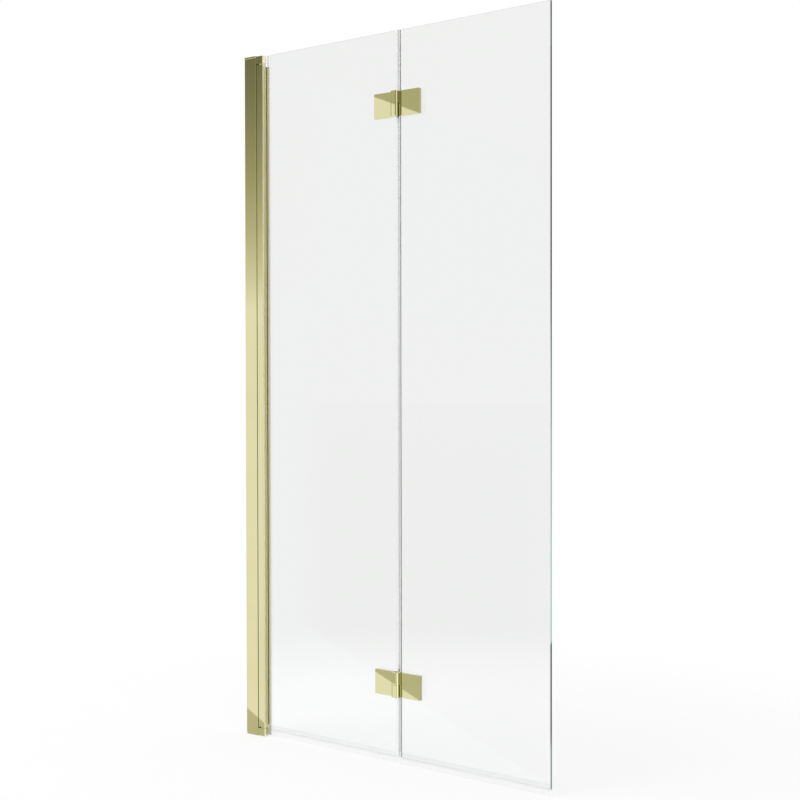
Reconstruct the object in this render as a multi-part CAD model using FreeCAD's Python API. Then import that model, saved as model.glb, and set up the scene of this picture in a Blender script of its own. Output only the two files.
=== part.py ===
import FreeCAD, Part
import math
import os

# Two-panel folding bath screen: a wall channel, an adjusting profile that slides over it,
# a swivel profile that carries the inner pane, and an outer pane on two lift-off glass hinges.
# X runs from the wall face to the free glass edge. Y = 0 is the middle of the glass, and the
# screen folds towards -Y. Z = 0 is half way up the profile. All sizes are in millimetres.

Vector = FreeCAD.Vector
ORIGIN = Vector(0, 0, 0)
ALONG = Vector(1, 0, 0)
BACK = Vector(0, 1, 0)
UP = Vector(0, 0, 1)

# Overall sizes
screen_width = 800.0
screen_height = 1500.0
glass_thickness = 6.0
glass_lift = 15.0
outer_glass_width = 364.5
pane_gap = 6.0
glass_edge_round = 0.4

# Wall channel and its fixing holes
channel_wall = 2.0
channel_reach = 28.0
channel_end_gap = 0.5
wall_hole_radius = 2.75
wall_hole_span_wide = 1300.0
wall_hole_span_near = 440.0

# Adjusting profile
face_offset = 15.5
profile_depth = 19.0
profile_wall = 1.8
profile_wall_gap = 2.0
profile_length = 34.5
profile_edge_round = 0.5
slide_gap = 0.2
adjust_travel = 15.0
seat_web = 2.0
seat_nose = 0.8
port_radius = 2.6
port_bite = 0.6
port_angle = 14.0

# Locking screws at the rear of the profile
lock_screw_radius = 2.0
lock_screw_margin = 7.0
lock_head_radius = 3.6
lock_head_height = 2.2
lock_head_chamfer = 0.6
lock_nut_width = 7.0
lock_nut_height = 3.0
lock_spacing = 560.0

# Swivel profile
bearing_depth = 13.0
swivel_offset = 10.5
seat_gap = 1.5
flat_setback = 0.5
nose_reach = 10.0
nose_corner = 2.0
swivel_wall = 1.8
pivot_boss_wall = 2.0
jaw_reach = 9.0
rear_jaw_reach = 4.5
jaw_wall = 1.6
jaw_round = 0.7
jaw_cutback = 5.3
glass_inset = 2.5
gasket_thickness = 0.6

# End caps with their pivots
cap_plate = 3.5
cap_height = 18.0
cap_step = 1.5
cap_overhang = 1.5
cap_corner = 1.2
cap_chamfer = 0.4
pivot_radius = 3.0
pivot_in_cap = 10.0
pivot_in_swivel = 25.0
pivot_chamfer = 0.5
bush_wall = 1.5
bush_flange = 2.4
bush_flange_width = 1.0
cap_screw_radius = 1.6
cap_screw_length = 16.0
cap_screw_head = 3.4

# Glass hinges
hinge_inset = 151.0
leaf_height = 51.0
leaf_reach = 59.0
leaf_thickness = 7.4
leaf_corner = 1.0
leaf_edge = 0.4
leaf_parting = 1.0
pad_thickness = 0.8
pad_setback = 1.0
knuckle_half = 8.3
knuckle_front = 5.5
knuckle_round = 3.8
knuckle_rear_round = 3.0
knuckle_flare = 1.2
washer_radius = 5.0
pin_offset = 15.5
pin_radius = 3.0
pin_in_upper = 20.0
pin_end_cover = 1.0
knuckle_gap = 0.3
knuckle_clearance = 0.8
back_plate_thickness = 4.0
back_plate_start = 10.0
back_plate_end = 51.5
back_plate_height = 44.0
hinge_screw_radius = 2.5
hinge_screw_head = 4.8
hinge_screw_reach = 36.0
hinge_screw_spacing = 24.0
hinge_screw_skin = 1.2
sleeve_wall = 1.8

# Clear seals
seal_leg = 10.0
seal_wall = 1.0
seal_end_gap = 0.5
vane_drop = 11.0
vane_throw = 5.0
vane_bend = 1.2
vane_thickness = 1.0
fin_drop = 5.0
seam_leg = 8.0
seam_bulb_wall = 0.6
seam_bulb_gap = 0.4
seam_end_gap = 1.0

# Fits
running_clearance = 0.05
seat_clearance = 0.02
head_clearance = 0.05
axial_play = 0.05
sleeve_clearance = 0.1
hole_clearance = 0.2

# Small sizes shared by many features
overrun = 1.0
hex_depth = 1.6
hex_share = 0.55

# Heights
head_z = screen_height / 2
foot_z = -screen_height / 2
plate_z = head_z - cap_plate
block_z = head_z - cap_height
swivel_z = block_z - bush_flange - axial_play
jaw_z = swivel_z - jaw_cutback
channel_z = plate_z - channel_end_gap
glass_bottom = foot_z + glass_lift
hinge_heights = {"upper": head_z - hinge_inset, "lower": glass_bottom + hinge_inset}

# Places along X
profile_start = profile_wall_gap
profile_end = profile_start + profile_length
axis_x = profile_end + swivel_offset
nose_x = axis_x + nose_reach
jaw_x = nose_x + jaw_reach
rear_jaw_x = nose_x + rear_jaw_reach
glass_start = nose_x + glass_inset
slot_back = glass_start - gasket_thickness
seam_x = screen_width - outer_glass_width - pane_gap / 2
inner_edge_x = seam_x - pane_gap / 2
outer_edge_x = seam_x + pane_gap / 2
lock_x = profile_start + lock_screw_margin

# Places along Y, from the middle of the glass
face_y = -face_offset
rear_y = face_y + profile_depth
middle_y = (face_y + rear_y) / 2
axis_y = face_y + bearing_depth / 2
inner_face_y = face_y + profile_wall
inner_rear_y = rear_y - profile_wall
channel_front_y = inner_face_y + slide_gap
channel_rear_y = inner_rear_y - slide_gap
glass_half = glass_thickness / 2
slot_half = glass_half + gasket_thickness
jaw_half = slot_half + jaw_wall
bearing_rear_y = face_y + bearing_depth

# Radii about the swivel axis
seat_radius = math.hypot(swivel_offset, bearing_depth / 2 - seat_nose)
swivel_radius = seat_radius - seat_gap
port_distance = seat_radius + seat_web + port_radius - port_bite
port_x = axis_x - port_distance * math.cos(math.radians(port_angle))
port_rise = port_distance * math.sin(math.radians(port_angle))
port_ys = (axis_y - port_rise, axis_y + port_rise)
bush_radius = pivot_radius + running_clearance + bush_wall

# Hinge places along Y, from the middle of the glass
leaf_back_y = -glass_half - pad_thickness
leaf_front_y = leaf_back_y - leaf_thickness
pin_y = -pin_offset
knuckle_back_y = leaf_front_y + leaf_edge
knuckle_corners = ((knuckle_front, knuckle_round), (knuckle_back_y - pin_y, knuckle_rear_round))
knuckle_sweep = max(math.hypot(knuckle_half - r, depth - r) + r for depth, r in knuckle_corners)
back_plate_y = glass_half + pad_thickness
back_plate_outer_y = back_plate_y + back_plate_thickness
sleeve_bore = hinge_screw_radius + hole_clearance
sleeve_radius = sleeve_bore + sleeve_wall
glass_hole_radius = sleeve_radius + sleeve_clearance


def block(x_span, y_span, z_span):
    """Rectangular block between two limits on each axis."""
    spans = (x_span, y_span, z_span)
    size = [high - low for low, high in spans]
    return Part.makeBox(*size, Vector(*[low for low, high in spans]))


def post(radius, x, y, z_span):
    """Upright cylinder."""
    return Part.makeCylinder(radius, z_span[1] - z_span[0], Vector(x, y, z_span[0]), UP)


def bolt(radius, x, z, y_span):
    """Cylinder along Y."""
    return Part.makeCylinder(radius, y_span[1] - y_span[0], Vector(x, y_span[0], z), BACK)


def both(half):
    """Span that lies evenly about zero."""
    return (-half, half)


def ordered(first, second):
    """Span between two values, whichever is larger."""
    return (min(first, second), max(first, second))


def fused(shapes):
    """One solid from shapes that meet."""
    return shapes[0].multiFuse(shapes[1:]).removeSplitter()


def flipped(shape):
    """Copy of a shape turned upside down about Z = 0."""
    return shape.mirror(ORIGIN, UP)


def rounded(shape, radius, direction, keep=lambda point: True):
    """Round the straight edges that run along a direction and whose middle passes a test."""
    edges = []
    for edge in shape.Edges:
        straight = isinstance(edge.Curve, Part.Line)
        if straight and edge.Curve.Direction.cross(direction).Length < 1e-6 and keep(edge.CenterOfMass):
            edges.append(edge)
    return shape.makeFillet(radius, edges)


def hex_socket(radius, start, direction):
    """Hexagonal key recess that starts just outside a screw head."""
    side = radius * hex_share
    prism = Part.Face(Part.makePolygon(hexagon(side))).extrude(Vector(0, 0, hex_depth + overrun))
    prism.Placement = FreeCAD.Placement(start - direction * overrun, FreeCAD.Rotation(UP, direction))
    return prism


def hexagon(side):
    """Closed ring of corner points of a hexagon about the origin."""
    turns = [math.radians(60 * step) for step in range(7)]
    return [Vector(side * math.cos(turn), side * math.sin(turn), 0) for turn in turns]


def countersunk_screw(start, direction, length, radius, head_radius):
    """Flat-headed screw whose head face is at start."""
    head_depth = head_radius - radius
    head = Part.makeCone(head_radius, radius, head_depth, start, direction)
    shank = Part.makeCylinder(radius, length, start, direction)
    return fused([head, shank]).cut(hex_socket(head_radius, start, direction))


def countersink(start, direction, length, radius, head_radius):
    """Cutter for a flat-headed screw, open at its start."""
    head_depth = head_radius - radius
    mouth = Part.makeCylinder(head_radius, overrun, start - direction * overrun, direction)
    cone = Part.makeCone(head_radius, radius, head_depth, start, direction)
    hole = Part.makeCylinder(radius, length, start, direction)
    return fused([mouth, cone, hole])


def lock_heights():
    """Heights of the locking screws."""
    return [step * lock_spacing for step in (-1, 0, 1)]


def wall_hole_heights():
    """Heights of the wall fixing holes."""
    return [sign * span / 2 for span in (wall_hole_span_wide, wall_hole_span_near) for sign in (-1, 1)]


def bearing_span(setback):
    """Span along Y of the bearing, drawn in by a setback at both faces."""
    return (face_y + setback, bearing_rear_y - setback)


def wall_channel():
    """U-shaped extrusion on the wall, with fixing holes and slots for the locking screws."""
    z_span = both(channel_z)
    hollow_y = (channel_front_y + channel_wall, channel_rear_y - channel_wall)
    channel = block((0, channel_reach), (channel_front_y, channel_rear_y), z_span)
    channel = channel.cut(block((channel_wall, channel_reach + overrun), hollow_y, z_span))
    for z in wall_hole_heights():
        start = Vector(-overrun, middle_y, z)
        channel = channel.cut(Part.makeCylinder(wall_hole_radius, channel_wall + 2 * overrun, start, ALONG))
    slot_radius = lock_screw_radius + hole_clearance
    leg_y = (hollow_y[1] - overrun, channel_rear_y + overrun)
    for z in lock_heights():
        ends = [bolt(slot_radius, x, z, leg_y) for x in (lock_x, lock_x + adjust_travel)]
        middle = block((lock_x, lock_x + adjust_travel), leg_y, (z - slot_radius, z + slot_radius))
        channel = channel.cut(fused(ends + [middle]))
    return channel


def adjusting_profile():
    """Box-sided extrusion over the wall channel, with a hollow round seat for the swivel in its end."""
    z_span = both(plate_z)
    shell = block((profile_start, profile_end), (face_y, rear_y), z_span)
    shell = rounded(shell, profile_edge_round, UP)
    cavity = block((profile_start - overrun, profile_end - seat_web), (inner_face_y, inner_rear_y), z_span)
    cavity = cavity.cut(post(seat_radius + seat_web, axis_x, axis_y, z_span))
    ports = fused([post(port_radius, port_x, y, z_span) for y in port_ys])
    ports = ports.common(cavity)
    seat = post(seat_radius, axis_x, axis_y, z_span)
    seat = seat.common(block((profile_start, axis_x), bearing_span(seat_nose), z_span))
    profile = fused([shell.cut(cavity).cut(seat), ports])
    for y in port_ys:
        profile = profile.cut(post(cap_screw_radius + running_clearance, port_x, y, z_span))
    for z in lock_heights():
        wall_y = (inner_rear_y - overrun, rear_y + overrun)
        profile = profile.cut(bolt(lock_screw_radius + hole_clearance, lock_x, z, wall_y))
    return profile


def swivel_bar(inset, z_span):
    """Bar about the swivel axis: round at the wall side, flat-sided, with a round-cornered nose."""
    y_span = bearing_span(flat_setback + inset)
    radius = swivel_radius - inset
    back = post(radius, axis_x, axis_y, z_span)
    back = back.common(block((axis_x - radius, axis_x), y_span, z_span))
    nose = block((axis_x, nose_x - inset), y_span, z_span)
    corner = max(nose_corner - inset, profile_edge_round)
    nose = rounded(nose, corner, UP, lambda point: point.x > axis_x + nose_reach / 2)
    return fused([back, nose])


def swivel_profile():
    """Hollow extrusion that turns in the seat and grips the inner pane between two jaws."""
    z_span = both(swivel_z)
    grip_z = both(jaw_z)
    boss_radius = pivot_radius + seat_clearance + pivot_boss_wall
    hollow = swivel_bar(swivel_wall, z_span).cut(post(boss_radius, axis_x, axis_y, z_span))
    body = swivel_bar(0, z_span).cut(hollow)
    body = body.cut(post(pivot_radius + seat_clearance, axis_x, axis_y, z_span))
    jaw = block((nose_x - swivel_wall, jaw_x), (-jaw_half, -slot_half), grip_z)
    jaw = rounded(jaw, jaw_round, UP, lambda point: point.x > nose_x)
    web = block((nose_x - swivel_wall, slot_back), both(jaw_half), grip_z)
    rear_jaw = block((nose_x - swivel_wall, rear_jaw_x), (slot_half, jaw_half), grip_z)
    rear_jaw = rounded(rear_jaw, jaw_round, UP, lambda point: point.x > nose_x)
    return fused([body, web, jaw, rear_jaw])


def end_cap(overhang):
    """Cast top cap: a plate over the adjusting profile and a bearing block over the swivel."""
    plate_y = (face_y - overhang, rear_y + overhang)
    plate = block((profile_start, profile_end), plate_y, (plate_z, head_z))
    plate = rounded(plate, cap_corner, UP)
    plate_middle = plate_z + cap_plate / 2
    rims = [edge for edge in plate.Edges if abs(edge.CenterOfMass.z - plate_middle) > cap_plate / 4]
    plate = plate.makeChamfer(cap_chamfer, rims)
    top_z = head_z - cap_step
    bearing = block((profile_end + seat_clearance, nose_x), bearing_span(0), (block_z, top_z))
    neck = block((profile_end - cap_corner, axis_x), bearing_span(0), (plate_z, top_z))
    bearing = rounded(bearing, nose_corner, UP, lambda point: point.x > axis_x)
    spigot = post(seat_radius - seat_clearance, axis_x, axis_y, (block_z, plate_z))
    spigot_y = bearing_span(seat_nose + seat_clearance)
    spigot = spigot.common(block((axis_x - seat_radius, axis_x), spigot_y, (block_z, plate_z)))
    cap = fused([plate, bearing, neck, spigot])
    socket_z = (block_z - overrun, block_z + pivot_in_cap)
    cap = cap.cut(post(bush_radius + seat_clearance, axis_x, axis_y, socket_z))
    bore = cap_screw_radius + running_clearance
    head = cap_screw_head + head_clearance
    for y in port_ys:
        start = Vector(port_x, y, head_z)
        cap = cap.cut(countersink(start, -UP, cap_plate + overrun, bore, head))
    return cap


def top_pivot_bush():
    """Flanged plastic bush in the cap, whose flange spaces the swivel profile from the cap."""
    sleeve = post(bush_radius, axis_x, axis_y, (block_z, block_z + pivot_in_cap))
    flange_z = (block_z - bush_flange, block_z)
    flange = post(bush_radius + bush_flange_width, axis_x, axis_y, flange_z)
    bore_z = (block_z - bush_flange, block_z + pivot_in_cap)
    return fused([sleeve, flange]).cut(post(pivot_radius + running_clearance, axis_x, axis_y, bore_z))


def top_pivot_pin():
    """Steel pin held in the end of the swivel profile."""
    pin_z = (swivel_z - pivot_in_swivel, block_z + pivot_in_cap - axial_play)
    pin = post(pivot_radius, axis_x, axis_y, pin_z)
    ends = [edge for edge in pin.Edges if isinstance(edge.Curve, Part.Circle)]
    return pin.makeChamfer(pivot_chamfer, ends)


def top_cap_screws():
    """Pair of flat-headed screws through the cap plate into the screw ports."""
    screws = []
    for y in port_ys:
        start = Vector(port_x, y, head_z)
        screws.append(countersunk_screw(start, -UP, cap_screw_length, cap_screw_radius, cap_screw_head))
    return screws


def lock_screws():
    """Screws that clamp the adjusting profile to the wall channel, with their square nuts."""
    nut_y = channel_rear_y - channel_wall - slide_gap
    top_y = rear_y + lock_head_height
    half = lock_nut_width / 2
    screws = []
    nuts = []
    for z in lock_heights():
        head = bolt(lock_head_radius, lock_x, z, (rear_y, top_y))
        rim = [edge for edge in head.Edges if edge.CenterOfMass.y > top_y - head_clearance]
        head = head.makeChamfer(lock_head_chamfer, rim)
        shank = bolt(lock_screw_radius, lock_x, z, (nut_y - lock_nut_height, rear_y))
        socket = hex_socket(lock_head_radius, Vector(lock_x, top_y, z), -BACK)
        screws.append(fused([head, shank]).cut(socket))
        nut = block((lock_x - half, lock_x + half), (nut_y - lock_nut_height, nut_y), (z - half, z + half))
        bore_y = (nut_y - lock_nut_height - overrun, rear_y)
        nuts.append(nut.cut(bolt(lock_screw_radius + seat_clearance, lock_x, z, bore_y)))
    return screws, nuts


def hinge_screw_points(side, z_mid):
    """Places of the two screws of one hinge leaf, as pairs of X and Z."""
    x = seam_x + side * hinge_screw_reach
    return [(x, z_mid + sign * hinge_screw_spacing / 2) for sign in (-1, 1)]


def glass_with_holes(x_span, side):
    """Pane with polished edges and the holes for its hinge screws."""
    pane = block(x_span, both(glass_half), (glass_bottom, head_z))
    pane = pane.makeChamfer(glass_edge_round, pane.Edges)
    for z_mid in hinge_heights.values():
        for x, z in hinge_screw_points(side, z_mid):
            pane = pane.cut(bolt(glass_hole_radius, x, z, both(glass_thickness)))
    return pane


def glazing_gasket():
    """Rubber channel between the glass and the jaws, longer on the front face than on the rear."""
    z_span = both(jaw_z)
    front = block((slot_back, jaw_x - jaw_round), (-slot_half, -glass_half), z_span)
    web = block((slot_back, glass_start), both(slot_half), z_span)
    rear = block((slot_back, rear_jaw_x - jaw_round), (glass_half, slot_half), z_span)
    return fused([front, web, rear])


def knuckle(end_z, z_span):
    """Square knuckle about the pin, with round corners and a chamfered outer end."""
    y_span = (pin_y - knuckle_front, knuckle_back_y)
    body = block((seam_x - knuckle_half, seam_x + knuckle_half), y_span, z_span)
    body = rounded(body, knuckle_round, UP, lambda point: point.y < pin_y)
    body = rounded(body, knuckle_rear_round, UP, lambda point: point.y > knuckle_back_y - leaf_edge)
    rim = [edge for edge in body.Edges if abs(edge.CenterOfMass.z - end_z) < 1e-6]
    return body.makeChamfer(leaf_edge, rim)


def hinge_leaf(side, z_mid, bore_radius, bore_z):
    """Front leaf: side -1 is on the inner pane with the lower knuckle, +1 on the outer with the upper."""
    half = leaf_height / 2
    own_z = ordered(z_mid + side * knuckle_gap / 2, z_mid + side * half)
    other_z = ordered(z_mid + side * knuckle_gap / 2, z_mid - side * (half + overrun))
    web_z = ordered(z_mid + side * knuckle_gap / 2, z_mid + side * (half - leaf_edge))
    near_x = seam_x + side * leaf_parting
    end_x = seam_x + side * leaf_reach
    web_x = seam_x + side * knuckle_half
    flare_x = web_x + side * knuckle_flare
    flare_y = leaf_front_y - knuckle_flare
    plate = block(ordered(near_x, end_x), (leaf_front_y, leaf_back_y), (z_mid - half, z_mid + half))
    plate = rounded(plate, leaf_corner, BACK, lambda point: abs(point.x - end_x) < 1e-6)
    front = [edge for edge in plate.Edges if abs(edge.CenterOfMass.y - leaf_front_y) < 1e-6]
    front = [edge for edge in front if abs(edge.CenterOfMass.x - near_x) > 1e-6]
    plate = plate.makeChamfer(leaf_edge, front)
    web = block(ordered(seam_x, web_x), (pin_y, knuckle_back_y), web_z)
    flare = block(ordered(web_x, flare_x), (flare_y, knuckle_back_y), web_z)
    flare = flare.cut(post(knuckle_flare, flare_x, flare_y, web_z))
    leaf = fused([plate, knuckle(z_mid + side * half, own_z), web, flare])
    leaf = leaf.cut(post(knuckle_sweep + knuckle_clearance, seam_x, pin_y, other_z))
    leaf = leaf.cut(post(bore_radius, seam_x, pin_y, bore_z))
    tapped = hinge_screw_radius + running_clearance
    for x, z in hinge_screw_points(side, z_mid):
        leaf = leaf.cut(bolt(tapped, x, z, (leaf_front_y + hinge_screw_skin, leaf_back_y + overrun)))
    return leaf


def inner_leaf(z_mid):
    """Leaf on the inner pane: its lower knuckle holds the pin."""
    bottom = z_mid - leaf_height / 2
    return hinge_leaf(-1, z_mid, pin_radius + seat_clearance, (bottom + pin_end_cover, z_mid))


def outer_leaf(z_mid):
    """Leaf on the outer pane: its upper knuckle turns on the pin."""
    bore_z = (z_mid, z_mid + knuckle_gap / 2 + pin_in_upper + overrun)
    return hinge_leaf(1, z_mid, pin_radius + running_clearance, bore_z)


def hinge_pin(z_mid):
    """Steel pin that joins the two knuckles."""
    z_span = (z_mid - leaf_height / 2 + pin_end_cover, z_mid + knuckle_gap / 2 + pin_in_upper)
    return post(pin_radius, seam_x, pin_y, z_span)


def hinge_washer(z_mid):
    """Plastic washer that carries the upper knuckle on the lower one."""
    z_span = both(knuckle_gap / 2)
    ring = post(washer_radius, seam_x, pin_y, z_span)
    ring = ring.cut(post(pin_radius + running_clearance, seam_x, pin_y, z_span))
    ring.translate(UP * z_mid)
    return ring


def back_plate(side, z_mid):
    """Rear clamping plate of one leaf, countersunk for two screws."""
    half = back_plate_height / 2
    x_span = ordered(seam_x + side * back_plate_start, seam_x + side * back_plate_end)
    plate = block(x_span, (back_plate_y, back_plate_outer_y), (z_mid - half, z_mid + half))
    plate = rounded(plate, leaf_corner, BACK)
    rim = [edge for edge in plate.Edges if abs(edge.CenterOfMass.y - back_plate_outer_y) < 1e-6]
    plate = plate.makeChamfer(leaf_edge, rim)
    bore = hinge_screw_radius + hole_clearance
    head = hinge_screw_head + head_clearance
    for x, z in hinge_screw_points(side, z_mid):
        start = Vector(x, back_plate_outer_y, z)
        plate = plate.cut(countersink(start, -BACK, back_plate_thickness + overrun, bore, head))
    return plate


def hinge_pads(side, z_mid):
    """Pair of thin pads that keep the metal off the glass, one on each face."""
    front_reaches = (pane_gap / 2 + pad_setback, leaf_reach - pad_setback)
    front_x = ordered(*[seam_x + side * reach for reach in front_reaches])
    rear_reaches = (back_plate_start + pad_setback, back_plate_end - pad_setback)
    rear_x = ordered(*[seam_x + side * reach for reach in rear_reaches])
    front_half = leaf_height / 2 - pad_setback
    rear_half = back_plate_height / 2 - pad_setback
    front = block(front_x, (leaf_back_y, -glass_half), (z_mid - front_half, z_mid + front_half))
    rear = block(rear_x, (glass_half, back_plate_y), (z_mid - rear_half, z_mid + rear_half))
    for x, z in hinge_screw_points(side, z_mid):
        hole = bolt(sleeve_bore, x, z, both(back_plate_outer_y))
        front = front.cut(hole)
        rear = rear.cut(hole)
    return [front, rear]


def hinge_sleeves(side, z_mid):
    """Plastic sleeves round the screws in the glass."""
    sleeves = []
    for x, z in hinge_screw_points(side, z_mid):
        tube = bolt(sleeve_radius, x, z, both(glass_half))
        sleeves.append(tube.cut(bolt(sleeve_bore, x, z, both(glass_thickness))))
    return sleeves


def hinge_screws(side, z_mid):
    """Flat-headed screws from the rear plate through the glass into the leaf."""
    length = back_plate_outer_y - leaf_front_y - hinge_screw_skin - axial_play
    screws = []
    for x, z in hinge_screw_points(side, z_mid):
        start = Vector(x, back_plate_outer_y, z)
        screws.append(countersunk_screw(start, -BACK, length, hinge_screw_radius, hinge_screw_head))
    return screws


def curved_strip(points, thickness, x_span):
    """Bent strip along X whose section follows an arc through three points of Y and Z."""
    near = [Vector(x_span[0], y, z) for y, z in points]
    far = [point + BACK * thickness for point in near]
    edges = [
        Part.Arc(*near).toShape(),
        Part.makeLine(near[-1], far[-1]),
        Part.Arc(*far[::-1]).toShape(),
        Part.makeLine(far[0], near[0]),
    ]
    return Part.Face(Part.Wire(edges)).extrude(ALONG * (x_span[1] - x_span[0]))


def bottom_seal(x_span):
    """Clear clip on the bottom edge of a pane, with a drip vane and a short fin under it."""
    base = glass_bottom - seal_wall
    top = glass_bottom + seal_leg
    clip = block(x_span, both(glass_half + seal_wall), (base, top))
    clip = clip.cut(block(x_span, both(glass_half), (glass_bottom, top + overrun)))
    root_y = -glass_half
    tip_z = glass_bottom - vane_drop
    bend = (root_y - vane_bend, (base + tip_z) / 2)
    points = [(root_y, base + seal_wall / 2), bend, (root_y - vane_throw, tip_z)]
    vane = curved_strip(points, vane_thickness, x_span)
    fin_y = (glass_half - vane_thickness, glass_half)
    fin = block(x_span, fin_y, (glass_bottom - fin_drop, base + seal_wall / 2))
    return fused([clip, vane, fin])


def seam_seal(z_span):
    """Length of clear seal on the inner pane's edge: a clip and a hollow bulb that fills the gap."""
    leg_x = inner_edge_x - seam_leg
    web_x = inner_edge_x + seal_wall
    clip = block((leg_x, web_x), both(glass_half + seal_wall), z_span)
    clip = clip.cut(block((leg_x - overrun, inner_edge_x), both(glass_half), z_span))
    bulb_radius = (outer_edge_x - seam_bulb_gap - inner_edge_x - seal_wall / 2) / 2
    bulb_x = outer_edge_x - seam_bulb_gap - bulb_radius
    bulb = post(bulb_radius, bulb_x, 0, z_span)
    hollow = post(bulb_radius - seam_bulb_wall, bulb_x, 0, z_span)
    return fused([clip, bulb]).cut(hollow.cut(block((leg_x, web_x), both(glass_half), z_span)))


def seam_seals():
    """Three lengths of seam seal, above, between and below the hinges."""
    clear = leaf_height / 2 + seam_end_gap
    upper = hinge_heights["upper"]
    lower = hinge_heights["lower"]
    lowest = glass_bottom + seal_leg + seam_end_gap
    spans = [(upper + clear, head_z), (lower + clear, upper - clear), (lowest, lower - clear)]
    return [seam_seal(span) for span in spans]


def for_each_hinge(make, side):
    """Pieces that a function makes for both hinges on one pane."""
    return [piece for z_mid in hinge_heights.values() for piece in make(side, z_mid)]


def screen_nodes():
    """Every node of the screen, by name."""
    screws, nuts = lock_screws()
    nodes = {
        "wall_channel": wall_channel(),
        "adjusting_profile": adjusting_profile(),
        "top_end_cap": end_cap(cap_overhang),
        "bottom_end_cap": flipped(end_cap(0)),
        "pivot_bushes": [top_pivot_bush(), flipped(top_pivot_bush())],
        "end_cap_screws": top_cap_screws() + [flipped(screw) for screw in top_cap_screws()],
        "lock_screws": screws,
        "lock_nuts": nuts,
        "swivel_profile": swivel_profile(),
        "pivot_pins": [top_pivot_pin(), flipped(top_pivot_pin())],
        "glazing_gasket": glazing_gasket(),
        "inner_glass": glass_with_holes((glass_start, inner_edge_x), -1),
        "outer_glass": glass_with_holes((outer_edge_x, screen_width), 1),
        "inner_bottom_seal": bottom_seal((glass_start + seal_end_gap, inner_edge_x - seal_end_gap)),
        "outer_bottom_seal": bottom_seal((outer_edge_x + seal_end_gap, screen_width - seal_end_gap)),
        "seam_seals": seam_seals(),
        "hinge_pins": [hinge_pin(z_mid) for z_mid in hinge_heights.values()],
        "hinge_washers": [hinge_washer(z_mid) for z_mid in hinge_heights.values()],
    }
    for name, z_mid in hinge_heights.items():
        nodes[name + "_hinge_inner_leaf"] = inner_leaf(z_mid)
        nodes[name + "_hinge_outer_leaf"] = outer_leaf(z_mid)
        nodes[name + "_hinge_inner_back_plate"] = back_plate(-1, z_mid)
        nodes[name + "_hinge_outer_back_plate"] = back_plate(1, z_mid)
    for name, side in (("inner", -1), ("outer", 1)):
        nodes[name + "_hinge_pads"] = for_each_hinge(hinge_pads, side)
        nodes[name + "_hinge_sleeves"] = for_each_hinge(hinge_sleeves, side)
        nodes[name + "_hinge_screws"] = for_each_hinge(hinge_screws, side)
    return nodes


def main():
    """Write each node as a STEP file."""
    os.makedirs("parts", exist_ok=True)
    for name, shape in screen_nodes().items():
        solids = shape if isinstance(shape, list) else [shape]
        whole = Part.makeCompound(solids) if len(solids) > 1 else solids[0]
        whole.exportStep(os.path.join("parts", name + ".step"))
        print(name, len(whole.Solids), whole.isValid(), round(whole.Volume))


main()
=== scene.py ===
"""Looks of a two-panel folding bath screen: finishes, soft seals, studio and camera."""

import logging
import math
from dataclasses import dataclass
from enum import Enum
from typing import Any, Callable, Optional, Union

import bmesh
import bpy
from mathutils import Matrix, Vector


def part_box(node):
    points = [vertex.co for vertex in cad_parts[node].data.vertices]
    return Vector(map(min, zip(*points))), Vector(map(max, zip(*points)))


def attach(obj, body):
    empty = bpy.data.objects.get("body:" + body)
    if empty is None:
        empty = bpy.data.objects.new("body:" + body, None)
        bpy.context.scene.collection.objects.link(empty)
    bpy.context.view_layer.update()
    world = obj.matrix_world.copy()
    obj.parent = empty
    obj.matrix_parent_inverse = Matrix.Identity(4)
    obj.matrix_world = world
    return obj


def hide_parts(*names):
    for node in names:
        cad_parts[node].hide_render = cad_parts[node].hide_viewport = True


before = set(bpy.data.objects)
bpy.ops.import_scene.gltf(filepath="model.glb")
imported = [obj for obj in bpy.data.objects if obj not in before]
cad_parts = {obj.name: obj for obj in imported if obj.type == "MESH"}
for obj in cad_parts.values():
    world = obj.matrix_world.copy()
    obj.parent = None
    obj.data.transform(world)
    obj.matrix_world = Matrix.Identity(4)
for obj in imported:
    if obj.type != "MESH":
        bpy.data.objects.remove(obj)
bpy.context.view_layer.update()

Triple = tuple[float, float, float]
Colour = Triple
Span = tuple[float, float]
Key = Union[str, int]
Test = Callable[[Vector, Vector], bool]

LOG = logging.getLogger("bath_screen")
PHOTO_SIDE = 800
BACKDROP = 0.875
NEAR = 1e-5
FACING = 0.9
WELD = 1e-6
RIM = 0.0001
RIM_STEPS = 2
ROUND_STEPS = 6
SMOOTH_ANGLE = math.radians(40.0)
NORTH = Vector((0.0, 1.0, 0.0))
UP = Vector((0.0, 0.0, 1.0))


class Body(Enum):
    """Moving bodies that carry new pieces."""

    INNER = "inner_panel"
    OUTER = "outer_panel"


class Look(Enum):
    """Finishes of the screen."""

    GOLD = "polished_gold"
    EXTRUSION = "polished_gold_extrusion"
    LEAF = "polished_gold_leaf"
    CAP = "polished_gold_cap"
    ALUMINIUM = "plain_aluminium"
    GLASS = "clear_glass"
    SEAL = "clear_seal"
    SEAL_END = "clear_seal_end"
    RUBBER = "grey_rubber"
    WHITE = "white_plastic"
    BLACK = "black_plastic"
    STEEL = "bright_steel"


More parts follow.
